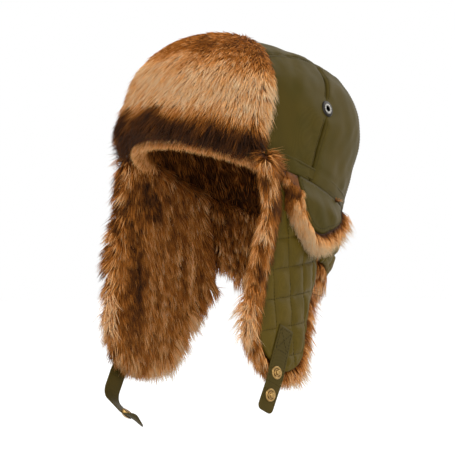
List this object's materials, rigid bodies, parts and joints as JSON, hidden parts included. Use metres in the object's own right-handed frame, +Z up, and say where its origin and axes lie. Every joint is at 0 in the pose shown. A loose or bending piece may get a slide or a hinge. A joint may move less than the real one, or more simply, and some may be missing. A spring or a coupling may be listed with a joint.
{
  "type": "trapper hat",
  "caption": "Padded trapper hat with a fur-lined crown, a fur visor that folds down, quilted ear flaps with ear covers, a nape guard and a snap chin strap.",
  "frame": {"origin": "middle of the head opening, on the plane of the crown's lower edge", "axes": "+Z up as worn, -Y to the wearer's front, +X to the wearer's left"},
  "size_m": [0.2194, 0.2474, 0.3763],
  "materials": {
    "olive_cloth": "matt woven nylon",
    "wadding": "soft white wadding",
    "interlining": "stiff felt",
    "fur": "long brown pile with pale tips",
    "webbing": "folded olive cloth",
    "dark_metal": "dark enamelled ring",
    "steel": "plain",
    "antique_brass": "antiqued"
  },
  "bodies": {
    "crown": {"crown_centre_strip": "olive_cloth", "crown_side_front_left": "olive_cloth", "crown_side_front_right": "olive_cloth", "crown_side_rear_left": "olive_cloth", "crown_side_rear_right": "olive_cloth", "crown_edge_band": "olive_cloth", "crown_wadding": "wadding", "crown_fur_lining": "fur", "crown_eyelet_left": "dark_metal", "crown_eyelet_right": "dark_metal", "crown_eyelet_washer_left": "steel", "crown_eyelet_washer_right": "steel", "nape_shell": "olive_cloth", "nape_wadding": "wadding", "nape_fur_lining": "fur"},
    "visor": {"visor_backing": "olive_cloth", "visor_interlining": "interlining", "visor_fur": "fur"},
    "strap_left": {"strap_left_tail": "webbing", "strap_left_lower_stud": "antique_brass", "strap_left_lower_post": "antique_brass"},
    "strap_right": {"strap_right_tail": "webbing", "strap_right_socket": "antique_brass", "strap_right_cap": "antique_brass"},
    "flap_left": {"flap_left_shell": "olive_cloth", "flap_left_wadding": "wadding", "flap_left_fur_lining": "fur", "flap_left_eyelet": "dark_metal", "flap_left_eyelet_washer": "steel", "strap_left_anchor": "webbing", "strap_left_upper_stud": "antique_brass", "strap_left_upper_post": "antique_brass"},
    "ear_cover_left": {"ear_cover_left_shell": "olive_cloth", "ear_cover_left_fur": "fur"},
    "flap_right": {"flap_right_shell": "olive_cloth", "flap_right_wadding": "wadding", "flap_right_fur_lining": "fur", "flap_right_eyelet": "dark_metal", "flap_right_eyelet_washer": "steel", "strap_right_anchor": "webbing"},
    "ear_cover_right": {"ear_cover_right_shell": "olive_cloth", "ear_cover_right_fur": "fur"}
  },
  "joints": [
    {"name": "visor_fold", "type": "hinge", "parent": "crown", "child": "visor", "pos_m": [0, -0.1055, 0.0415], "axis": [1, 0, 0], "range_deg": [0, 135]},
    {"name": "flap_left_fold", "type": "hinge", "parent": "crown", "child": "flap_left", "pos_m": [0.1, 0, 0], "axis": [0, -0.9336, 0.3584], "range_deg": [0, 150]},
    {"name": "ear_cover_left_lift", "type": "hinge", "parent": "flap_left", "child": "ear_cover_left", "pos_m": [0.1, 0, 0], "axis": [0, 0.9336, -0.3584], "range_deg": [-120, 0]},
    {"name": "strap_left_swing", "type": "hinge", "parent": "flap_left", "child": "strap_left", "pos_m": [0.10664, -0.05682, -0.186], "axis": [0, 0.9063, -0.4226], "range_deg": [-100, 90]},
    {"name": "flap_right_fold", "type": "hinge", "parent": "crown", "child": "flap_right", "pos_m": [-0.1, 0, 0], "axis": [0, 0.9336, -0.3584], "range_deg": [0, 150]},
    {"name": "ear_cover_right_lift", "type": "hinge", "parent": "flap_right", "child": "ear_cover_right", "pos_m": [-0.1, 0, 0], "axis": [0, -0.9336, 0.3584], "range_deg": [-120, 0]},
    {"name": "strap_right_swing", "type": "hinge", "parent": "flap_right", "child": "strap_right", "pos_m": [-0.10664, -0.05682, -0.186], "axis": [0, -0.9063, 0.4226], "range_deg": [-100, 45]}
  ]
}
